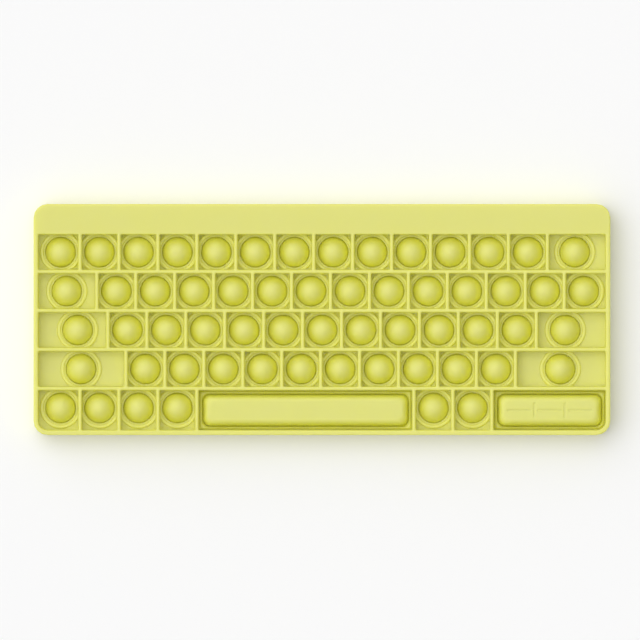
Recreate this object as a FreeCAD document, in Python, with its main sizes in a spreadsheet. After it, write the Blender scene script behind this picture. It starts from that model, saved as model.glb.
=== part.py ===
"""A keyboard-shaped bubble-popping toy in silicone rubber, in millimetres.

The toy lies flat: +X runs to the right along the keyboard, +Y away from the user and +Z up.
The origin is at the middle of the footprint, on the surface that the toy rests on. The top
and the underside of the frame are alike, so the toy can be turned over and used again once
its bubbles have been pushed through.
"""

import FreeCAD, Part
import math
import os
import Sketcher

# The driving dimensions. Widths are measured along X, depths along Y, heights along Z.
DIMENSIONS = {
    "body_width": 281.3,
    "body_depth": 112.7,
    "thickness": 16.0,
    "corner_radius": 6.8,
    "side_rim": 2.35,
    "near_rim": 2.45,
    "far_band": 14.95,
    "field_corner_radius": 4.4,
    "key_pitch": 19.0,
    "rib_width": 1.9,
    "floor_thickness": 1.4,
    "bead_radius": 10.1,
    "bead_height": 1.2,
    "trough_radius": 8.45,
    "trough_depth": 0.6,
    "bubble_radius": 7.2,
    "bubble_wall": 1.2,
    "clearance": 0.2,
    "row_1_start": 20.3,
    "row_2_start": 28.5,
    "row_3_start": 33.9,
    "row_4_start": 42.7,
    "row_5_start": 20.3,
    "row_5_restart": 183.2,
    "row_1_right_setback": 13.3,
    "row_2_left_setback": 14.7,
    "row_3_left_setback": 14.8,
    "row_3_right_setback": 14.1,
    "row_4_left_setback": 21.9,
    "row_4_right_setback": 21.8,
    "key_gap": 1.95,
    "key_rise": 7.2,
    "key_wall": 1.2,
    "key_edge_radius": 2.2,
    "key_corner_radius": 3.4,
    "land_height": 0.3,
    "land_groove": 3.0,
    "land_margin": 3.0,
    "land_corner_radius": 1.2,
}

# The four rows that hold only bubbles: how many ribs divide each one, how far the first rib
# stands from the field's left side, and how far the end bubbles are set back from the end ribs.
STANDARD_SETBACK = "dims.key_pitch / 2"
PLAIN_ROWS = [
    {
        "ribs": 13,
        "start": "dims.row_1_start",
        "left": STANDARD_SETBACK,
        "right": "dims.row_1_right_setback",
    },
    {
        "ribs": 13,
        "start": "dims.row_2_start",
        "left": "dims.row_2_left_setback",
        "right": STANDARD_SETBACK,
    },
    {
        "ribs": 12,
        "start": "dims.row_3_start",
        "left": "dims.row_3_left_setback",
        "right": "dims.row_3_right_setback",
    },
    {
        "ribs": 11,
        "start": "dims.row_4_start",
        "left": "dims.row_4_left_setback",
        "right": "dims.row_4_right_setback",
    },
]

# The nearest row: bubbles, the space bar, bubbles again and the arrow pad. Two pairs of its
# bubbles are each kept in one node.
NEAR_ROW = len(PLAIN_ROWS)
LEFT_RIBS = 4
RIGHT_RIBS = 3
PAIRED_KEYS = [(1, 2), (5, 6)]

LAND_COLUMNS = 3
LAND_ROWS = 2

FIELD_LEFT = "(dims.side_rim - dims.body_width / 2)"
FIELD_RIGHT = "(dims.body_width / 2 - dims.side_rim)"
FIELD_NEAR = "(dims.near_rim - dims.body_depth / 2)"
FIELD_FAR = "(dims.body_depth / 2 - dims.far_band)"
CELL_HALF = "(dims.key_pitch / 2 - dims.rib_width / 2)"
FLOOR_BOTTOM = "(dims.thickness / 2 - dims.floor_thickness / 2)"
HOLE_RADIUS = "(dims.bubble_radius + dims.clearance)"

doc = FreeCAD.newDocument("bubble_keyboard")
sheet = doc.addObject("Spreadsheet::Sheet", "dims")


def fill_sheet():
    """Put each driving dimension in a cell with its own alias."""
    for line, (alias, value) in enumerate(DIMENSIONS.items(), start=1):
        sheet.set(f"A{line}", alias)
        sheet.set(f"B{line}", str(value))
        sheet.setAlias(f"B{line}", alias)
    doc.recompute()


def number(expression):
    """The value of an expression in the sheet's cells."""
    return float(sheet.evalExpression(expression))


def bind(item, **expressions):
    """Bind an object's properties to the sheet. x, y and z are its position."""
    for name, expression in expressions.items():
        path = f".Placement.Base.{name}" if name in ("x", "y", "z") else name
        item.setExpression(path, expression)
    return item


def combine(kind, name, items):
    """A boolean or a compound of several objects."""
    result = doc.addObject(kind, name)
    setattr(result, "Links" if kind == "Part::Compound" else "Shapes", items)
    return result


def cut(name, base, tool):
    """One object with another taken away from it."""
    result = doc.addObject("Part::Cut", name)
    result.Base = base
    result.Tool = tool
    return result


def block(name, left, right, near, far, bottom, height):
    """A box between four sides."""
    box = doc.addObject("Part::Box", name)
    return bind(
        box,
        Length=f"{right} - {left}",
        Width=f"{far} - {near}",
        Height=height,
        x=left,
        y=near,
        z=bottom,
    )


def disc(name, x, y, radius, bottom, height):
    """An upright cylinder."""
    cylinder = doc.addObject("Part::Cylinder", name)
    return bind(cylinder, Radius=radius, Height=height, x=x, y=y, z=bottom)


# Sketches


def new_sketch(body, name, role="XY_Plane"):
    """A sketch on one of a body's own origin planes."""
    sketch = body.newObject("Sketcher::SketchObject", name)
    plane = next(f for f in body.Origin.OriginFeatures if f.Role == role)
    sketch.AttachmentSupport = (plane, [""])
    sketch.MapMode = "FlatFace"
    return sketch


def constrain(sketch, kind, *where):
    """A geometric constraint."""
    sketch.addConstraint(Sketcher.Constraint(kind, *where))


def dimension(sketch, name, kind, expression, *where):
    """A named dimensional constraint, bound to the sheet."""
    index = sketch.addConstraint(Sketcher.Constraint(kind, *where, number(expression)))
    sketch.renameConstraint(index, name)
    sketch.setExpression(f"Constraints.{name}", expression)


def rounded_rectangle(sketch, width, depth, radii):
    """A rectangle centred on the sketch's origin.

    radii are the corners' radii, counter-clockwise from the near right corner. None leaves a
    corner square.
    """
    across, along = number(width) / 2, number(depth) / 2
    corners = [
        FreeCAD.Vector(across, -along),
        FreeCAD.Vector(across, along),
        FreeCAD.Vector(-across, along),
        FreeCAD.Vector(-across, -along),
    ]
    ways = [
        FreeCAD.Vector(1, 0),
        FreeCAD.Vector(0, 1),
        FreeCAD.Vector(-1, 0),
        FreeCAD.Vector(0, -1),
    ]
    sizes = [number(radius) if radius else 0 for radius in radii]
    sides = []
    for i, way in enumerate(ways):
        start = corners[i - 1] + way * sizes[i - 1]
        end = corners[i] - way * sizes[i]
        sides.append(sketch.addGeometry(Part.LineSegment(start, end)))
        constrain(sketch, "Vertical" if i % 2 else "Horizontal", sides[i])
    for i, radius in enumerate(radii):
        following = (i + 1) % 4
        if radius is None:
            constrain(sketch, "Coincident", sides[i], 2, sides[following], 1)
            continue
        centre = corners[i] + (ways[following] - ways[i]) * sizes[i]
        circle = Part.Circle(centre, FreeCAD.Vector(0, 0, 1), sizes[i])
        turn = (i - 1) * math.pi / 2
        arc = sketch.addGeometry(Part.ArcOfCircle(circle, turn, turn + math.pi / 2))
        constrain(sketch, "Tangent", sides[i], 2, arc, 1)
        constrain(sketch, "Tangent", arc, 2, sides[following], 1)
        dimension(sketch, f"radius_{i}", "Radius", radius, arc)
    near, right, far, left = sides
    dimension(sketch, "width", "DistanceX", width, left, 1, right, 1)
    dimension(sketch, "depth", "DistanceY", depth, near, 1, far, 1)
    dimension(sketch, "half_width", "DistanceX", f"({width}) / 2", -1, 1, right, 1)
    dimension(sketch, "half_depth", "DistanceY", f"({depth}) / 2", -1, 1, far, 1)


# Features


def pad(body, sketch, name, length):
    """Raise a sketch by a bound length."""
    feature = body.newObject("PartDesign::Pad", name)
    feature.Profile = sketch
    return bind(feature, Length=length)


def pocket_upwards(body, sketch, name, length):
    """Cut a sketch into the solid above it, and make sure that it cuts."""
    doc.recompute()
    before = body.Shape.Volume
    feature = body.newObject("PartDesign::Pocket", name)
    feature.Profile = sketch
    feature.Reversed = True
    bind(feature, Length=length)
    doc.recompute()
    if body.Shape.Volume >= before:
        raise RuntimeError(f"{name} cuts nothing")
    return feature


def round_top_edges(body, name, radius):
    """Round the edges of the highest face."""
    doc.recompute()
    base = body.Tip
    top = base.Shape.BoundBox.ZMax
    edges = [
        f"Edge{i}"
        for i, edge in enumerate(base.Shape.Edges, start=1)
        if edge.BoundBox.ZMin > top - 1e-3
    ]
    feature = body.newObject("PartDesign::Fillet", name)
    feature.Base = (base, edges)
    return bind(feature, Radius=radius)


# The frame: a rim, the ribs between the keys, and a floor half way down each well


def row_middle(row):
    """The Y of a row's bubbles; row 0 is the farthest."""
    return f"({FIELD_FAR} - {CELL_HALF} - {row} * dims.key_pitch)"


def row_sides(row):
    """The near and far sides of a row's wells."""
    far = f"({row_middle(row)} + {CELL_HALF})"
    if row == NEAR_ROW:
        return FIELD_NEAR, far
    return f"({row_middle(row)} - {CELL_HALF})", far


def rib_line(start, index):
    """The X of a rib's middle; index 0 is the first rib of its run."""
    return f"({FIELD_LEFT} + {start} + {index} * dims.key_pitch)"


def make_rim():
    """The outer wall, as thick as the whole toy, with a wide band along its far side."""
    body = doc.addObject("PartDesign::Body", "rim")
    outline = new_sketch(body, "rim_outline")
    rounded_rectangle(
        outline, "dims.body_width", "dims.body_depth", ["dims.corner_radius"] * 4
    )
    pad(body, outline, "rim_pad", "dims.thickness")
    field = new_sketch(body, "field_outline")
    bind(field, **{".AttachmentOffset.Base.y": f"({FIELD_NEAR} + {FIELD_FAR}) / 2"})
    near_corner = "dims.field_corner_radius"
    rounded_rectangle(
        field,
        f"{FIELD_RIGHT} - {FIELD_LEFT}",
        f"{FIELD_FAR} - {FIELD_NEAR}",
        [near_corner, None, None, near_corner],
    )
    pocket_upwards(body, field, "field_pocket", "dims.thickness")
    return body


def make_long_rib(row):
    """The rib along the near side of a row."""
    y = f"({row_middle(row)} - dims.key_pitch / 2)"
    half = "dims.rib_width / 2"
    return block(
        f"long_rib_{row + 1}",
        FIELD_LEFT,
        FIELD_RIGHT,
        f"({y} - {half})",
        f"({y} + {half})",
        "0",
        "dims.thickness",
    )


def make_short_rib(row, index, x):
    """A rib between two neighbouring wells of a row."""
    near, far = row_sides(row)
    half = "dims.rib_width / 2"
    return block(
        f"short_rib_{row + 1}_{index + 1}",
        f"({x} - {half})",
        f"({x} + {half})",
        near,
        far,
        "0",
        "dims.thickness",
    )


def make_bubble_floor(name, row, left, right, x):
    """A well's floor, with the bubble's hole and a stepped bead round it on both faces."""
    near, far = row_sides(row)
    y = row_middle(row)
    bead_bottom = f"({FLOOR_BOTTOM} - dims.bead_height)"
    bead_height = "(dims.floor_thickness + 2 * dims.bead_height)"
    sides = (left, right, near, far)
    plate = block(f"{name}_plate", *sides, FLOOR_BOTTOM, "dims.floor_thickness")
    well = block(f"{name}_well", *sides, bead_bottom, bead_height)
    bead = disc(f"{name}_bead", x, y, "dims.bead_radius", bead_bottom, bead_height)
    trough_top = f"({bead_bottom} + {bead_height} - dims.trough_depth)"
    hole = combine(
        "Part::MultiFuse",
        f"{name}_opening",
        [
            disc(f"{name}_hole", x, y, HOLE_RADIUS, bead_bottom, bead_height),
            disc(f"{name}_lower_trough", x, y, "dims.trough_radius", bead_bottom, "dims.trough_depth"),
            disc(f"{name}_upper_trough", x, y, "dims.trough_radius", trough_top, "dims.trough_depth"),
        ],
    )
    trimmed = combine("Part::MultiCommon", f"{name}_trimmed", [bead, well])
    whole = combine("Part::MultiFuse", f"{name}_whole", [plate, trimmed])
    return cut(name, whole, hole)


def make_key_floor(name, left, right):
    """The floor of a long key's well, with the slot that the key rises through."""
    near, far = row_sides(NEAR_ROW)
    body = doc.addObject("PartDesign::Body", name)
    bind(
        body,
        x=f"({left} + {right}) / 2",
        y=f"({near} + {far}) / 2",
        z=FLOOR_BOTTOM,
    )
    outline = new_sketch(body, f"{name}_outline")
    rounded_rectangle(outline, f"{right} - {left}", f"{far} - {near}", [None] * 4)
    pad(body, outline, f"{name}_pad", "dims.floor_thickness")
    slot = new_sketch(body, f"{name}_slot")
    inset = "2 * (dims.key_gap - dims.clearance)"
    rounded_rectangle(
        slot,
        f"{right} - {left} - {inset}",
        f"{far} - {near} - {inset}",
        ["dims.key_corner_radius + dims.clearance"] * 4,
    )
    pocket_upwards(body, slot, f"{name}_pocket", "dims.floor_thickness")
    return body


def plan_row(row):
    """The ribs of a row, and its bubbles' wells as (number, left, right, middle)."""
    plan = PLAIN_ROWS[row]
    ribs = [rib_line(plan["start"], i) for i in range(plan["ribs"])]
    half = "dims.rib_width / 2"
    lefts = [FIELD_LEFT] + [f"({x} + {half})" for x in ribs]
    rights = [f"({x} - {half})" for x in ribs] + [FIELD_RIGHT]
    middles = [f"({ribs[0]} - {plan['left']})"]
    middles += [f"({x} + dims.key_pitch / 2)" for x in ribs[:-1]]
    middles += [f"({ribs[-1]} + {plan['right']})"]
    return ribs, list(zip(range(1, len(lefts) + 1), lefts, rights, middles))


def plan_near_row():
    """The nearest row's ribs, its bubbles' wells, and the sides of its two long wells."""
    left_ribs = [rib_line("dims.row_5_start", i) for i in range(LEFT_RIBS)]
    right_ribs = [rib_line("dims.row_5_restart", i) for i in range(RIGHT_RIBS)]
    half = "dims.rib_width / 2"
    wells = []
    for i, x in enumerate(left_ribs):
        left = f"({left_ribs[i - 1]} + {half})" if i else FIELD_LEFT
        wells.append((i + 1, left, f"({x} - {half})", f"({x} - {STANDARD_SETBACK})"))
    for i, x in enumerate(right_ribs[1:]):
        left = f"({right_ribs[i]} + {half})"
        key = LEFT_RIBS + i + 1
        wells.append((key, left, f"({x} - {half})", f"({x} - {STANDARD_SETBACK})"))
    long_wells = {
        "space_bar": (f"({left_ribs[-1]} + {half})", f"({right_ribs[0]} - {half})"),
        "arrow_pad": (f"({right_ribs[-1]} + {half})", FIELD_RIGHT),
    }
    return left_ribs + right_ribs, wells, long_wells


def make_frame(rows, long_wells):
    """The frame is one moulding. Its straight stretches are separate touching solids."""
    rim = make_rim()
    pieces = [rim]
    for row, (ribs, wells) in enumerate(rows):
        if row < NEAR_ROW:
            pieces.append(make_long_rib(row))
        for i, x in enumerate(ribs):
            pieces.append(make_short_rib(row, i, x))
        for key, left, right, x in wells:
            floor = make_bubble_floor(f"floor_{row + 1}_{key}", row, left, right, x)
            if row == NEAR_ROW and key == 1:
                floor = cut(f"{floor.Name}_rounded", floor, rim)
            pieces.append(floor)
    pieces.append(make_key_floor("space_bar_floor", *long_wells["space_bar"]))
    arrow_floor = make_key_floor("arrow_pad_floor", *long_wells["arrow_pad"])
    pieces.append(cut("arrow_pad_floor_rounded", arrow_floor, rim))
    return combine("Part::Compound", "frame", pieces)


# The moving pieces


def make_bubble(name, row, x):
    """A hollow dome that stands in its hole, level with the floor's underside."""
    body = doc.addObject("PartDesign::Body", name)
    bind(body, x=x, y=row_middle(row), z="dims.thickness / 2")
    sketch = new_sketch(body, f"{name}_profile", "XZ_Plane")
    inner_radius = "dims.bubble_radius - dims.bubble_wall"
    outer = number("dims.bubble_radius")
    inner = number(inner_radius)
    drop = number("dims.floor_thickness / 2")

    def line(*ends):
        return sketch.addGeometry(Part.LineSegment(*[FreeCAD.Vector(*end) for end in ends]))

    def quarter(radius):
        circle = Part.Circle(FreeCAD.Vector(), FreeCAD.Vector(0, 0, 1), radius)
        return sketch.addGeometry(Part.ArcOfCircle(circle, 0, math.pi / 2))

    dome = quarter(outer)
    skirt = line((outer, 0), (outer, -drop))
    foot = line((outer, -drop), (inner, -drop))
    lining = line((inner, -drop), (inner, 0))
    hollow = quarter(inner)
    crown = line((0, inner), (0, outer))
    for arc in (dome, hollow):
        constrain(sketch, "Coincident", arc, 3, -1, 1)
        constrain(sketch, "PointOnObject", arc, 1, -1)
        constrain(sketch, "PointOnObject", arc, 2, -2)
    constrain(sketch, "Coincident", dome, 1, skirt, 1)
    constrain(sketch, "Coincident", skirt, 2, foot, 1)
    constrain(sketch, "Coincident", foot, 2, lining, 1)
    constrain(sketch, "Coincident", lining, 2, hollow, 1)
    constrain(sketch, "Coincident", hollow, 2, crown, 1)
    constrain(sketch, "Coincident", crown, 2, dome, 2)
    constrain(sketch, "Vertical", skirt)
    constrain(sketch, "Horizontal", foot)
    constrain(sketch, "Vertical", lining)
    dimension(sketch, "outer_radius", "Radius", "dims.bubble_radius", dome)
    dimension(sketch, "inner_radius", "Radius", inner_radius, hollow)
    dimension(sketch, "drop", "DistanceY", "dims.floor_thickness / 2", skirt, 2, skirt, 1)
    turned = body.newObject("PartDesign::Revolution", f"{name}_revolution")
    turned.Profile = sketch
    turned.ReferenceAxis = (sketch, ["V_Axis"])
    turned.Angle = 360
    return body


def make_long_key(name, left, right):
    """A hollow flat-topped key with rolled edges, as the space bar is."""
    near, far = row_sides(NEAR_ROW)
    width = f"({right} - {left} - 2 * dims.key_gap)"
    depth = f"({far} - {near} - 2 * dims.key_gap)"
    height = "(dims.key_rise + dims.floor_thickness / 2)"
    body = doc.addObject("PartDesign::Body", name)
    bind(
        body,
        x=f"({left} + {right}) / 2",
        y=f"({near} + {far}) / 2",
        z=FLOOR_BOTTOM,
    )
    outline = new_sketch(body, f"{name}_outline")
    rounded_rectangle(outline, width, depth, ["dims.key_corner_radius"] * 4)
    pad(body, outline, f"{name}_pad", height)
    round_top_edges(body, f"{name}_rolled_edge", "dims.key_edge_radius")
    hollow = new_sketch(body, f"{name}_hollow")
    rounded_rectangle(
        hollow,
        f"{width} - 2 * dims.key_wall",
        f"{depth} - 2 * dims.key_wall",
        ["dims.key_corner_radius - dims.key_wall"] * 4,
    )
    pocket_upwards(body, hollow, f"{name}_pocket", f"{height} - dims.key_wall")
    return body, width, depth, height


def add_lands(body, width, depth, height):
    """Low lands on the arrow pad, one for each key, parted by shallow grooves."""

    def share(size, count):
        room = f"({size} - 2 * dims.land_margin - {count - 1} * dims.land_groove)"
        return f"({room} / {count})"

    land_width = share(width, LAND_COLUMNS)
    land_depth = share(depth, LAND_ROWS)
    for column in range(LAND_COLUMNS):
        for row in range(LAND_ROWS):
            land = new_sketch(body, f"land_{column + 1}_{row + 1}")
            across = column - (LAND_COLUMNS - 1) / 2
            along = row - (LAND_ROWS - 1) / 2
            offset = {
                ".AttachmentOffset.Base.x": f"{across} * ({land_width} + dims.land_groove)",
                ".AttachmentOffset.Base.y": f"{along} * ({land_depth} + dims.land_groove)",
                ".AttachmentOffset.Base.z": height,
            }
            bind(land, **offset)
            rounded_rectangle(
                land, land_width, land_depth, ["dims.land_corner_radius"] * 4
            )
            pad(body, land, f"{land.Name}_pad", "dims.land_height")


def make_nodes():
    """Every sub-part of the toy, as a document object labelled with its node's name."""
    near_ribs, near_wells, long_wells = plan_near_row()
    rows = [plan_row(row) for row in range(NEAR_ROW)] + [(near_ribs, near_wells)]
    nodes = [make_frame(rows, long_wells)]
    for row, (_, wells) in enumerate(rows):
        bubbles = {
            key: make_bubble(f"bubble_r{row + 1}_{key:02d}", row, x)
            for key, _, _, x in wells
        }
        if row == NEAR_ROW:
            for pair in PAIRED_KEYS:
                twins = [bubbles.pop(key) for key in pair]
                name = "bubbles_r{}_{:02d}_{:02d}".format(row + 1, *pair)
                nodes.append(combine("Part::Compound", name, twins))
        nodes += bubbles.values()
    space_bar, *_ = make_long_key("space_bar", *long_wells["space_bar"])
    arrow_pad, *sizes = make_long_key("arrow_pad", *long_wells["arrow_pad"])
    add_lands(arrow_pad, *sizes)
    for node in nodes + [space_bar, arrow_pad]:
        node.Label = node.Name
    return nodes + [space_bar, arrow_pad]


def check(nodes):
    """Stop if any object failed to build."""
    for item in doc.Objects:
        if {"Invalid", "Error"} & set(item.State):
            raise RuntimeError(f"{item.Name} is {item.State}")
    for node in nodes:
        if node.Shape.isNull() or not node.Shape.isValid():
            raise RuntimeError(f"the shape of {node.Label} is not valid")


def export(nodes):
    """Write each sub-part to its own file."""
    os.makedirs("parts", exist_ok=True)
    for node in nodes:
        node.Shape.exportStep(f"parts/{node.Label}.step")


fill_sheet()
all_nodes = make_nodes()
doc.recompute()
check(all_nodes)
export(all_nodes)
print(f"{len(all_nodes)} nodes written")
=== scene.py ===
import math

import bmesh
import bpy
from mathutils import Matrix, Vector


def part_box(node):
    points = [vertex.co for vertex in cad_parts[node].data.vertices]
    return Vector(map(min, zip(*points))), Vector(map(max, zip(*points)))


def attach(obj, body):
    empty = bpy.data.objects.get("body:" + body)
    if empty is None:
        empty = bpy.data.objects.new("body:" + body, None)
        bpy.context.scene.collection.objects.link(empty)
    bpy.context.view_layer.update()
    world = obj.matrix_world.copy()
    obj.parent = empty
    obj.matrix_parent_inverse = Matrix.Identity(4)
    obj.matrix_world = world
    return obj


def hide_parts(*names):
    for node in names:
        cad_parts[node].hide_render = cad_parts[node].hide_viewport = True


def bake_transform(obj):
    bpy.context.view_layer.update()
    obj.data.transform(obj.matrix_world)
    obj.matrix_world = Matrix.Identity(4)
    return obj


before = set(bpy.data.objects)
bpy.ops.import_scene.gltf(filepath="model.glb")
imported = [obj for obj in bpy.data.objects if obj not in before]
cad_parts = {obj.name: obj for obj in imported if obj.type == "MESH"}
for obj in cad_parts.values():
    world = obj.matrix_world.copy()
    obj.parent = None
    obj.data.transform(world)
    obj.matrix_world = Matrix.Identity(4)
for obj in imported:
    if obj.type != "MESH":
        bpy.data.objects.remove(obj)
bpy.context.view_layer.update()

MM = 0.001
FRAME_BODY = "frame"

# The frame's sizes, as the CAD model has them
KEY_PITCH = 19.0 * MM
RIB_WIDTH = 1.9 * MM
SIDE_RIM = 2.35 * MM
NEAR_RIM = 2.45 * MM
CORNER_RADIUS = 6.8 * MM
FIELD_CORNER_RADIUS = 4.4 * MM
KEY_GAP = 1.95 * MM
KEY_CORNER_RADIUS = 3.4 * MM
BEAD_RADIUS = 10.1 * MM
BEAD_HEIGHT = 1.2 * MM
FLOOR_HALF = 0.7 * MM

# Finer shapes that only the visible surface has
WELL_CORNER_RADIUS = 0.5 * MM
EDGE_ROUND = 0.6 * MM
FOOT_ROUND = 0.25 * MM
WALL_DRAFT = 0.08 * MM
CREASE_GAP = 0.15 * MM
CREASE_DROP = 0.35 * MM
FLANGE_REACH = 0.4 * MM
TROUGH_HEIGHT = 0.6 * MM
TROUGH_EDGE = 8.25 * MM
BEAD_SLOPE = 0.4 * MM
KEY_BEAD_HEIGHT = 0.9 * MM
KEY_BEAD_FLATNESS = 2.2
KEY_BEAD_STEEPNESS = 0.6
SKIN_THICKNESS = 1.1 * MM
PINCH = 0.15 * MM
KEY_ROLL = 3.0 * MM
KEY_ROLL_HEIGHT = 3.6 * MM
KEY_LEAN = 0.3 * MM
KEY_TOP_RADIUS = 3.4 * MM
GROOVE_DEPTH = 0.2 * MM
GROOVE_WIDTH = 1.6 * MM
GROOVE_EDGE = 0.55 * MM
GROOVE_CORNER = 0.7 * MM
GROOVE_MARGIN = 3.8 * MM
GROOVE_GAP = 0.5 * MM
GROOVE_SHARES = (0.0, 0.25, 0.5, 0.75, 1.0)
LAND_COLUMNS = 3

# How much a face's area counts in its corners' normals, from 1 to 100
AREA_WEIGHT = 90

# Silicone: the thick body and the thin skins have their own scattering depth. Their tones differ as
# painted light: the skins are painted lighter than the frame so that both render equally bright,
# though the real silicone is one colour.
FRAME_TONE = (0.80, 0.79, 0.03)
FRAME_DEPTH = 3.0 * MM
SKIN_TONE_PAINTED_LIGHTER = (0.86, 0.845, 0.032)
SKIN_DEPTH = 2.0 * MM
SILICONE_IOR = 2.1
SILICONE_GLOSS = 1.0
SUBSURFACE = 1.0
SUBSURFACE_BY_COLOUR = (1.0, 0.95, 0.1)
TONE_VARIATION = 0.015
ROUGHNESS_RANGE = (0.62, 0.7)
MOTTLE_SCALE = 90.0
MOTTLE_DETAIL = 3.0
GRAIN_SCALE = 2600.0
GRAIN_DETAIL = 2.0
GRAIN_STRENGTH = 0.12
GRAIN_HEIGHT = 0.05 * MM

# The backdrop, the camera and the light
BACKDROP_WHITE = (0.93, 0.93, 0.93)
BACKDROP_ROUGHNESS = 0.9
BACKDROP_GLOSS = 0.1
BACKDROP_WIDTH = 6.0
VIEW_WIDTH = 0.3122
VIEW_CENTRE = (-0.95 * MM, -0.24 * MM)
VIEW_HEIGHT = 1.6
SKY_STRENGTH = 0.55
SKY_LEAN = (-0.3, 0.15, 0.1)
LAMP_STRENGTH = 0.85
LAMP_FROM = (-0.2, 0.16, 1.0)
LAMP_SPREAD = 60.0
BACKDROP_STRENGTH = 0.6
BACKDROP_FROM = (-0.7, 0.35, 1.0)
BACKDROP_SPREAD = 90.0

# How finely the meshes are divided
SIDE_STEPS = 13
CORNER_STEPS = 4
ROUND_STEPS = 3
FOOT_STEPS = 2
BEAD_STEPS = 4
KEY_BEAD_RINGS = 9
DOME_TURNS = 56
DOME_STEPS = 16
WALL_STEPS = 4
ROLL_STEPS = 6


# Meshes made of loops of points


class Surface:
    """A mesh that grows loop by loop. Every loop runs counter-clockwise seen from above."""

    def __init__(self):
        self.points = []
        self.faces = []

    def loop(self, points):
        """Add a loop of points and return its indices."""
        first = len(self.points)
        self.points += points
        return list(range(first, len(self.points)))

    def bridge(self, loops):
        """Join each loop to the next by a band of faces."""
        for outer, inner in zip(loops, loops[1:]):
            for i, corner in enumerate(outer):
                following = (i + 1) % len(outer)
                self.faces.append((corner, outer[following], inner[following], inner[i]))

    def cap(self, loop):
        """Close a flat loop with one face."""
        self.faces.append(tuple(loop))

    def fan(self, loop, tip):
        """Close a loop with triangles that meet at a point."""
        self.points.append(tip)
        for i, corner in enumerate(loop):
            self.faces.append((corner, loop[(i + 1) % len(loop)], len(self.points) - 1))

    def build(self, name, sheets=()):
        """Make the object. Each sheet is a group of loops that bound one flat face with holes."""
        mesh = bpy.data.meshes.new(name)
        mesh.from_pydata(self.points, [], self.faces)
        work = bmesh.new()
        work.from_mesh(mesh)
        work.verts.ensure_lookup_table()
        for loops in sheets:
            edges = [
                work.edges.get((work.verts[a], work.verts[b]))
                for loop in loops
                for a, b in zip(loop, loop[1:] + loop[:1])
            ]
            bmesh.ops.triangle_fill(work, edges=edges, use_beauty=True)
        bmesh.ops.recalc_face_normals(work, faces=work.faces)
        for face in work.faces:
            face.smooth = True
        work.to_mesh(mesh)
        work.free()
        piece = bpy.data.objects.new(name, mesh)
        bpy.context.scene.collection.objects.link(piece)
        shading = piece.modifiers.new("flat_faces_stay_flat", "WEIGHTED_NORMAL")
        shading.weight = AREA_WEIGHT
        return piece


def corner_centres(sides, radii):
    """The centres of a rounded rectangle's corners, from the near right one round."""
    left, right, near, far = sides
    corners = [(right, near, -1, 1), (right, far, -1, -1), (left, far, 1, -1), (left, near, 1, 1)]
    return [
        (x + way_x * radius, y + way_y * radius)
        for (x, y, way_x, way_y), radius in zip(corners, radii)
    ]


def on_arc(centre, reach, turn):
    """A point at some distance from a centre. turn counts quarter turns from +X."""
    angle = turn * math.pi / 2
    return centre[0] + reach * math.cos(angle), centre[1] + reach * math.sin(angle)


def rounded_loop(sides, radii, grow, height, shares=None):
    """Points round a rectangle with round corners, grown outwards by some distance.

    sides is left, right, near, far. radii start at the near right corner and go on
    counter-clockwise. shares says where the points stand along each side, from 0 to 1, and
    height is one number or a list with one for each point.
    """
    centres = corner_centres(sides, radii)
    flat = []
    for i, centre in enumerate(centres):
        following = (i + 1) % 4
        for step in range(CORNER_STEPS + 1):
            flat.append(on_arc(centre, radii[i] + grow, i - 1 + step / CORNER_STEPS))
        start = flat[-1]
        end = on_arc(centres[following], radii[following] + grow, i)
        for share in shares[i] if shares else even_shares():
            flat.append(tuple(a + (b - a) * share for a, b in zip(start, end)))
    heights = height if isinstance(height, list) else [height] * len(flat)
    return [(x, y, z) for (x, y), z in zip(flat, heights)]


def even_shares():
    """Evenly spaced places along a side."""
    return [step / (SIDE_STEPS + 1) for step in range(1, SIDE_STEPS + 1)]


def shares_seen_from(centre, sides, radii):
    """Places along each side that stand at even angles seen from a centre."""
    centres = corner_centres(sides, radii)
    shares = []
    for i in range(4):
        following = (i + 1) % 4
        start = Vector(on_arc(centres[i], radii[i], i)) - Vector(centre)
        end = Vector(on_arc(centres[following], radii[following], i)) - Vector(centre)
        sweep = start.angle(end)
        along = end - start
        places = []
        for share in even_shares():
            angle = math.atan2(start.y, start.x) + sweep * share
            way = Vector((math.cos(angle), math.sin(angle)))
            # the ray meets the side where start + along * place is parallel to it
            cross_start = start.x * way.y - start.y * way.x
            cross_along = along.x * way.y - along.y * way.x
            places.append(-cross_start / cross_along)
        shares.append(places)
    return shares


# The plan of the key field, worked out from the nodes' boxes


def dome_centres(node):
    """The middles of the one or two domes in a node."""
    low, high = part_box(node)
    radius = (high[1] - low[1]) / 2
    y = (high[1] + low[1]) / 2
    ends = [low[0] + radius, high[0] - radius]
    return [(x, y) for x in (ends if node.startswith("bubbles_") else ends[:1])]


def run_of_wells(xs, y, near, far, left_line, right_line):
    """A run of bubbles as (centre, sides of its well). The two lines are those of its end ribs."""
    lines = [left_line]
    for i, x in enumerate(xs[:-1]):
        lines.append(x + KEY_PITCH / 2 if i else xs[1] - KEY_PITCH / 2)
    lines.append(right_line)
    return [
        ((x, y), (lines[i] + RIB_WIDTH / 2, lines[i + 1] - RIB_WIDTH / 2, near, far))
        for i, x in enumerate(xs)
    ]


bubble_nodes = sorted(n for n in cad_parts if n.startswith("bubble"))
rows = {}
for node in bubble_nodes:
    row = node.split("_r")[1].split("_")[0]
    rows.setdefault(row, []).extend(dome_centres(node))

body_low, body_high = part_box(FRAME_BODY)
middle_height = (body_low[2] + body_high[2]) / 2
half_thickness = (body_high[2] - body_low[2]) / 2
dome_low, dome_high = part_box(bubble_nodes[0])
dome_radius = (dome_high[1] - dome_low[1]) / 2
hole_radius = dome_radius + CREASE_GAP
field_left = body_low[0] + SIDE_RIM
field_right = body_high[0] - SIDE_RIM
field_near = body_low[1] + NEAR_RIM
half_well = (KEY_PITCH - RIB_WIDTH) / 2


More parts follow.
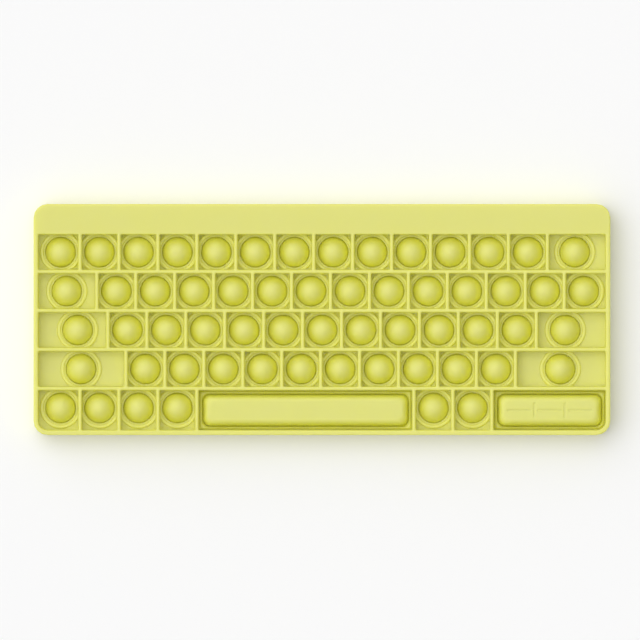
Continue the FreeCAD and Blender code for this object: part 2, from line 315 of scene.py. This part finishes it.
def plan_wells():
    """Every bubble's well, and the wells of the two long keys by node."""
    wells = []
    left_line = field_left - RIB_WIDTH / 2
    right_line = field_right + RIB_WIDTH / 2
    *plain_rows, near_row = [sorted(rows[row]) for row in sorted(rows)]
    for centres in plain_rows:
        xs = [x for x, _ in centres]
        y = centres[0][1]
        wells += run_of_wells(xs, y, y - half_well, y + half_well, left_line, right_line)
    xs = [x for x, _ in near_row]
    y = near_row[0][1]
    gaps = [b - a for a, b in zip(xs, xs[1:])]
    split = gaps.index(max(gaps)) + 1
    far = y + half_well
    bar_left = xs[split - 1] + KEY_PITCH / 2
    bar_right = xs[split] - KEY_PITCH / 2
    pad_left = xs[-1] + KEY_PITCH / 2
    wells += run_of_wells(xs[:split], y, field_near, far, left_line, bar_left)
    wells += run_of_wells(xs[split:], y, field_near, far, bar_right, pad_left)
    half_rib = RIB_WIDTH / 2
    long_wells = {
        "space_bar": (bar_left + half_rib, bar_right - half_rib, field_near, far),
        "arrow_pad": (pad_left + half_rib, field_right, field_near, far),
    }
    return wells, long_wells


def well_radii(sides):
    """A well's corner radii. The field's two near corners are rounder than the rest."""
    left, right, near, _ = sides
    at_near = abs(near - field_near) < RIB_WIDTH / 4
    radii = [WELL_CORNER_RADIUS] * 4
    if at_near and abs(right - field_right) < RIB_WIDTH / 4:
        radii[0] = FIELD_CORNER_RADIUS
    if at_near and abs(left - field_left) < RIB_WIDTH / 4:
        radii[3] = FIELD_CORNER_RADIUS
    return radii


# The frame: one moulding with a rim, ribs and a floor half way down each well


def quarter(steps):
    """Sine and 1 - cosine over a quarter turn."""
    turns = [i * math.pi / 2 / steps for i in range(steps + 1)]
    return [(math.sin(a), 1 - math.cos(a)) for a in turns]


def eased(share):
    """A smooth step from 0 to 1."""
    share = min(1.0, max(0.0, share))
    return share * share * (3 - 2 * share)


def bead_rise(reach):
    """How high the bead stands over the floor at a distance from its bubble's centre."""
    inner = TROUGH_HEIGHT + (BEAD_HEIGHT - TROUGH_HEIGHT) * eased((reach - TROUGH_EDGE) / BEAD_SLOPE)
    outer = BEAD_HEIGHT * (1 - eased((reach - BEAD_RADIUS + BEAD_SLOPE) / BEAD_SLOPE))
    return min(inner, outer)


def bead_reaches():
    """The distances from a bubble's centre at which its bead has a loop of points."""
    steps = [i / BEAD_STEPS for i in range(BEAD_STEPS + 1)]
    inner = [TROUGH_EDGE + BEAD_SLOPE * step for step in steps]
    outer = [BEAD_RADIUS - BEAD_SLOPE * (1 - step) for step in steps]
    return [hole_radius, (hole_radius + TROUGH_EDGE) / 2] + inner + outer


def key_bead_rise(share):
    """How high a long key's bead stands at a share of its width, from crease to outer foot."""
    fall = abs(2 * share - 1) ** KEY_BEAD_FLATNESS
    return KEY_BEAD_HEIGHT * max(0.0, 1 - fall) ** KEY_BEAD_STEEPNESS


def wall_loops(surface, side, sides, radii, shares, base):
    """The loops from the frame's face down a well's wall. base is the floor's height by point."""
    loops = []
    for rise, fall in quarter(ROUND_STEPS):
        grow = WALL_DRAFT + EDGE_ROUND * (1 - rise)
        height = middle_height + side * (half_thickness - EDGE_ROUND * fall)
        loops.append(surface.loop(rounded_loop(sides, radii, grow, height, shares)))
    for rise, fall in quarter(FOOT_STEPS):
        heights = [
            middle_height + side * (floor + FOOT_ROUND * (1 - rise)) for floor in base
        ]
        grow = -FOOT_ROUND * fall
        loops.append(surface.loop(rounded_loop(sides, radii, grow, heights, shares)))
    return loops


def bubble_well(surface, side, centre, sides):
    """One face of a bubble's well. Returns its top loop and the loop round its hole."""
    radii = well_radii(sides)
    shares = shares_seen_from(centre, sides, radii)
    foot = rounded_loop(sides, radii, -FOOT_ROUND, 0.0, shares)
    reaches = [math.dist(point[:2], centre) for point in foot]
    base = [FLOOR_HALF + bead_rise(reach) for reach in reaches]
    loops = wall_loops(surface, side, sides, radii, shares, base)
    rings = bead_reaches()
    for left, ring in enumerate(rings[::-1], start=1):
        points = []
        for (x, y, _), reach in zip(foot, reaches):
            # a ring that would pass the wall is squeezed against its foot
            at = min(ring, reach - PINCH * left / len(rings))
            height = middle_height + side * (FLOOR_HALF + bead_rise(at))
            points.append(
                (
                    centre[0] + (x - centre[0]) * at / reach,
                    centre[1] + (y - centre[1]) * at / reach,
                    height,
                )
            )
        loops.append(surface.loop(points))
    surface.bridge(loops)
    return loops[0], loops[-1]


def key_well(surface, side, key, sides):
    """One face of a long key's well. Returns its top loop and the loop round its slot."""
    radii = well_radii(sides)
    low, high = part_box(key)
    slot_sides = (low[0], high[0], low[1], high[1])
    slot_radii = [KEY_CORNER_RADIUS] * 4
    count = 4 * (SIDE_STEPS + CORNER_STEPS + 1)
    loops = wall_loops(surface, side, sides, radii, None, [FLOOR_HALF] * count)
    outer = rounded_loop(sides, radii, -FOOT_ROUND - PINCH, 0.0)
    inner = rounded_loop(slot_sides, slot_radii, CREASE_GAP, 0.0)
    for ring in range(KEY_BEAD_RINGS, -1, -1):
        share = (1 - math.cos(math.pi * ring / KEY_BEAD_RINGS)) / 2
        height = middle_height + side * (FLOOR_HALF + key_bead_rise(share))
        points = [
            (a[0] + (b[0] - a[0]) * share, a[1] + (b[1] - a[1]) * share, height)
            for a, b in zip(inner, outer)
        ]
        loops.append(surface.loop(points))
    surface.bridge(loops)
    return loops[0], loops[-1]


def make_frame():
    """The whole frame as one closed surface, alike on both faces."""
    surface = Surface()
    outline = (body_low[0], body_high[0], body_low[1], body_high[1])
    radii = [CORNER_RADIUS] * 4
    wells, long_wells = plan_wells()
    rim = {}
    sheets = []
    holes = {}
    for side in (1, -1):
        rim[side] = [
            surface.loop(
                rounded_loop(
                    outline,
                    radii,
                    -EDGE_ROUND * (1 - rise),
                    middle_height + side * (half_thickness - EDGE_ROUND * fall),
                )
            )
            for rise, fall in quarter(ROUND_STEPS)
        ]
        made = [bubble_well(surface, side, centre, sides) for centre, sides in wells]
        made += [key_well(surface, side, key, sides) for key, sides in long_wells.items()]
        sheets.append([rim[side][0]] + [top for top, _ in made])
        holes[side] = [hole for _, hole in made]
    surface.bridge(rim[1] + rim[-1][::-1])
    for upper, lower in zip(holes[1], holes[-1]):
        surface.bridge([upper, lower])
    return surface.build("frame_moulding", sheets)


# The skins of the bubbles and of the long keys, which turn inside out


def dome_profile():
    """A bubble's section as (radius, height above the floor's middle), from flange to crown."""
    flange = hole_radius + FLANGE_REACH
    inner_radius = dome_radius - SKIN_THICKNESS
    lowest = math.asin(CREASE_DROP / dome_radius)
    outer = []
    for step in range(DOME_STEPS):
        angle = lowest + (math.pi / 2 - lowest) * step / DOME_STEPS
        outer.append((dome_radius * math.cos(angle), dome_radius * math.sin(angle)))
    inner = []
    for step in range(DOME_STEPS):
        angle = math.pi / 2 * step / DOME_STEPS
        inner.append((inner_radius * math.cos(angle), inner_radius * math.sin(angle)))
    rim = [(inner_radius, -CREASE_DROP), (flange, -CREASE_DROP), (flange, CREASE_DROP)]
    return inner[::-1] + rim + outer


def make_bubble_skin(name, centre):
    """A bubble: a closed thin dome whose flange is set in the frame's floor."""
    surface = Surface()
    loops = []
    for radius, height in dome_profile():
        points = []
        for turn in range(DOME_TURNS):
            angle = 2 * math.pi * turn / DOME_TURNS
            x = centre[0] + radius * math.cos(angle)
            y = centre[1] + radius * math.sin(angle)
            points.append((x, y, middle_height + height))
        loops.append(surface.loop(points))
    surface.bridge(loops)
    surface.fan(loops[0], (*centre, middle_height + dome_radius - SKIN_THICKNESS))
    surface.fan(loops[-1], (*centre, middle_height + dome_radius))
    return surface.build(name)


def key_profile(rise):
    """A long key's outer and inner sections as (growth, height above the floor's middle)."""
    flange = CREASE_GAP + FLANGE_REACH
    wall_top = rise - KEY_ROLL_HEIGHT
    outer = [(flange, -CREASE_DROP), (flange, CREASE_DROP), (0.0, CREASE_DROP)]
    inner = [(-SKIN_THICKNESS, -CREASE_DROP)]
    for step in range(1, WALL_STEPS):
        share = step / WALL_STEPS
        height = CREASE_DROP + (wall_top - CREASE_DROP) * share
        outer.append((-KEY_LEAN * share, height))
        inner.append((-SKIN_THICKNESS - KEY_LEAN * share, height))
    for across, up in quarter(ROLL_STEPS):
        outer.append((-KEY_LEAN - KEY_ROLL * up, rise - KEY_ROLL_HEIGHT * (1 - across)))
        reach = KEY_LEAN + SKIN_THICKNESS + (KEY_ROLL - SKIN_THICKNESS / 2) * up
        drop = (KEY_ROLL_HEIGHT - SKIN_THICKNESS) * (1 - across)
        inner.append((-reach, rise - SKIN_THICKNESS - drop))
    return outer, inner


def key_loop(surface, sides, grow, height):
    """A loop of a long key, whose corners stay as round as it narrows."""
    radius = max(KEY_CORNER_RADIUS, KEY_TOP_RADIUS - grow)
    return surface.loop(rounded_loop(sides, [radius] * 4, grow, middle_height + height))


def spread(low, high, margin, groove, count):
    """The sides of several equal strips with grooves between them."""
    width = (high - low - 2 * margin - (count - 1) * groove) / count
    starts = [low + margin + i * (width + groove) for i in range(count)]
    return [(start, start + width) for start in starts]


def add_grooves(surface, sides, rise):
    """Shallow grooves that part a long key's top into lands. Returns the loops round them."""
    left, right, near, far = sides
    middle = (near + far) / 2
    columns = spread(left, right, GROOVE_MARGIN, GROOVE_WIDTH, LAND_COLUMNS)
    slots = []
    for _, end in columns[:-1]:
        slots.append((end, end + GROOVE_WIDTH, near + GROOVE_MARGIN, far - GROOVE_MARGIN))
    for start, end in columns:
        ends = (start + GROOVE_GAP, end - GROOVE_GAP)
        slots.append((*ends, middle - GROOVE_WIDTH / 2, middle + GROOVE_WIDTH / 2))
    rims = []
    for slot in slots:
        loops = []
        for share in GROOVE_SHARES:
            height = middle_height + rise - GROOVE_DEPTH * eased(share)
            shape = rounded_loop(slot, [GROOVE_CORNER] * 4, -GROOVE_EDGE * share, height)
            loops.append(surface.loop(shape))
        surface.bridge(loops)
        surface.cap(loops[-1])
        rims.append(loops[0])
    return rims


def make_key_skin(key, has_grooves):
    """A long key: a closed thin shell with rolled edges and a flat top."""
    low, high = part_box(key)
    sides = (low[0], high[0], low[1], high[1])
    surface = Surface()
    rise = high[2] - middle_height
    outer, inner = key_profile(rise)
    loops = [key_loop(surface, sides, grow, height) for grow, height in inner[::-1] + outer]
    surface.bridge(loops)
    surface.cap(loops[0])
    rims = add_grooves(surface, sides, rise) if has_grooves else []
    return surface.build(f"{key}_skin", [[loops[-1]] + rims])


def turn_inside_out(skin):
    """Bake a skin's placement into its mesh."""
    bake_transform(skin)


# Materials


def make_silicone(name, tone, depth):
    """Matt translucent silicone rubber with a pale bloom, a faint mottle and a fine grain.

    The depth is how far red and green light spreads inside it.
    """
    material = bpy.data.materials.new(name)
    material.use_nodes = True
    nodes = material.node_tree.nodes
    links = material.node_tree.links
    shader = nodes["Principled BSDF"]
    place = nodes.new("ShaderNodeTexCoord")

    mottle = nodes.new("ShaderNodeTexNoise")
    mottle.inputs["Scale"].default_value = MOTTLE_SCALE
    mottle.inputs["Detail"].default_value = MOTTLE_DETAIL
    links.new(place.outputs["Object"], mottle.inputs["Vector"])

    colours = nodes.new("ShaderNodeMix")
    colours.data_type = "RGBA"
    colours.inputs["A"].default_value = (*[c * (1 - TONE_VARIATION) for c in tone], 1.0)
    colours.inputs["B"].default_value = (*[c * (1 + TONE_VARIATION) for c in tone], 1.0)
    links.new(mottle.outputs["Fac"], colours.inputs["Factor"])
    links.new(colours.outputs["Result"], shader.inputs["Base Color"])

    gloss = nodes.new("ShaderNodeMapRange")
    gloss.inputs["To Min"].default_value = ROUGHNESS_RANGE[0]
    gloss.inputs["To Max"].default_value = ROUGHNESS_RANGE[1]
    links.new(mottle.outputs["Fac"], gloss.inputs["Value"])
    links.new(gloss.outputs["Result"], shader.inputs["Roughness"])

    grain = nodes.new("ShaderNodeTexNoise")
    grain.inputs["Scale"].default_value = GRAIN_SCALE
    grain.inputs["Detail"].default_value = GRAIN_DETAIL
    links.new(place.outputs["Object"], grain.inputs["Vector"])
    bump = nodes.new("ShaderNodeBump")
    bump.inputs["Strength"].default_value = GRAIN_STRENGTH
    bump.inputs["Distance"].default_value = GRAIN_HEIGHT
    links.new(grain.outputs["Fac"], bump.inputs["Height"])
    links.new(bump.outputs["Normal"], shader.inputs["Normal"])

    shader.inputs["IOR"].default_value = SILICONE_IOR
    shader.inputs["Specular IOR Level"].default_value = SILICONE_GLOSS
    shader.inputs["Subsurface Weight"].default_value = SUBSURFACE
    shader.inputs["Subsurface Radius"].default_value = SUBSURFACE_BY_COLOUR
    shader.inputs["Subsurface Scale"].default_value = depth
    return material


def make_backdrop_material():
    """A plain white matt surface."""
    material = bpy.data.materials.new("backdrop")
    material.use_nodes = True
    shader = material.node_tree.nodes["Principled BSDF"]
    shader.inputs["Base Color"].default_value = (*BACKDROP_WHITE, 1.0)
    shader.inputs["Roughness"].default_value = BACKDROP_ROUGHNESS
    shader.inputs["Specular IOR Level"].default_value = BACKDROP_GLOSS
    return material


def wear(piece, material):
    """Give a piece its one material, in one slot."""
    piece.data.materials.clear()
    piece.data.materials.append(material)


# The skins' silicone is painted lighter than the frame's: painted light, so that the thin skins
# render as bright as the thick frame.
thick_silicone = make_silicone("thick_silicone", FRAME_TONE, FRAME_DEPTH)
thin_silicone = make_silicone("thin_silicone", SKIN_TONE_PAINTED_LIGHTER, SKIN_DEPTH)

frame_piece = make_frame()
wear(frame_piece, thick_silicone)
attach(frame_piece, FRAME_BODY)
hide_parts("frame")

for node in bubble_nodes:
    for i, centre in enumerate(dome_centres(node)):
        suffix = "_skin" if i == 0 else "_second_skin"
        skin = make_bubble_skin(node + suffix, centre)
        wear(skin, thin_silicone)
        turn_inside_out(skin)
        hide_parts(node)

for key, has_grooves in (("space_bar", False), ("arrow_pad", True)):
    skin = make_key_skin(key, has_grooves)
    wear(skin, thin_silicone)
    turn_inside_out(skin)
    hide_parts(key)


# The stage


def make_floor():
    """A wide flat floor that the toy lies on."""
    bpy.ops.mesh.primitive_plane_add(size=BACKDROP_WIDTH, location=(0, 0, body_low[2]))
    floor = bpy.context.object
    floor.name = "backdrop_floor"
    floor.data.materials.append(make_backdrop_material())
    return floor


def light_the_sky():
    """An even white surround, a little brighter towards its far left, and white below the floor."""
    world = bpy.data.worlds.new("surround")
    world.use_nodes = True
    nodes = world.node_tree.nodes
    links = world.node_tree.links
    place = nodes.new("ShaderNodeTexCoord")
    lean = nodes.new("ShaderNodeVectorMath")
    lean.operation = "DOT_PRODUCT"
    lean.inputs[1].default_value = SKY_LEAN
    links.new(place.outputs["Generated"], lean.inputs[0])
    level = nodes.new("ShaderNodeMapRange")
    level.inputs["From Min"].default_value = -1.0
    level.inputs["From Max"].default_value = 1.0
    level.inputs["To Min"].default_value = SKY_STRENGTH - 1.0
    level.inputs["To Max"].default_value = SKY_STRENGTH + 1.0
    links.new(lean.outputs["Value"], level.inputs["Value"])
    heading = nodes.new("ShaderNodeSeparateXYZ")
    links.new(place.outputs["Generated"], heading.inputs["Vector"])
    is_below = nodes.new("ShaderNodeMath")
    is_below.operation = "LESS_THAN"
    is_below.inputs[1].default_value = 0.0
    links.new(heading.outputs["Z"], is_below.inputs[0])
    strength = nodes.new("ShaderNodeMath")
    strength.operation = "MAXIMUM"
    links.new(level.outputs["Result"], strength.inputs[0])
    links.new(is_below.outputs["Value"], strength.inputs[1])
    background = nodes["Background"]
    background.inputs["Color"].default_value = (1.0, 1.0, 1.0, 1.0)
    links.new(strength.outputs["Value"], background.inputs["Strength"])
    bpy.context.scene.world = world


def add_soft_lamp(name, strength, source, spread_angle):
    """A wide, distant, soft lamp."""
    light = bpy.data.lights.new(name, "SUN")
    light.energy = strength
    light.angle = math.radians(spread_angle)
    lamp = bpy.data.objects.new(name, light)
    lamp.rotation_euler = Vector(source).to_track_quat("Z", "Y").to_euler()
    bpy.context.scene.collection.objects.link(lamp)
    return lamp


def light_only(lamp, piece):
    """Keep a lamp's light to one object."""
    lit = bpy.data.collections.new(f"{lamp.name}_lights")
    lit.objects.link(piece)
    lamp.light_linking.receiver_collection = lit


def make_camera():
    """A camera straight above that sees with no perspective."""
    camera = bpy.data.cameras.new("camera")
    camera.type = "ORTHO"
    camera.ortho_scale = VIEW_WIDTH
    holder = bpy.data.objects.new("camera", camera)
    holder.location = (*VIEW_CENTRE, VIEW_HEIGHT)
    bpy.context.scene.collection.objects.link(holder)
    bpy.context.scene.camera = holder


backdrop = make_floor()
light_the_sky()
add_soft_lamp("soft_lamp", LAMP_STRENGTH, LAMP_FROM, LAMP_SPREAD)
backdrop_lamp = add_soft_lamp("backdrop_lamp", BACKDROP_STRENGTH, BACKDROP_FROM, BACKDROP_SPREAD)
light_only(backdrop_lamp, backdrop)
make_camera()
bpy.context.scene.view_settings.view_transform = "Standard"
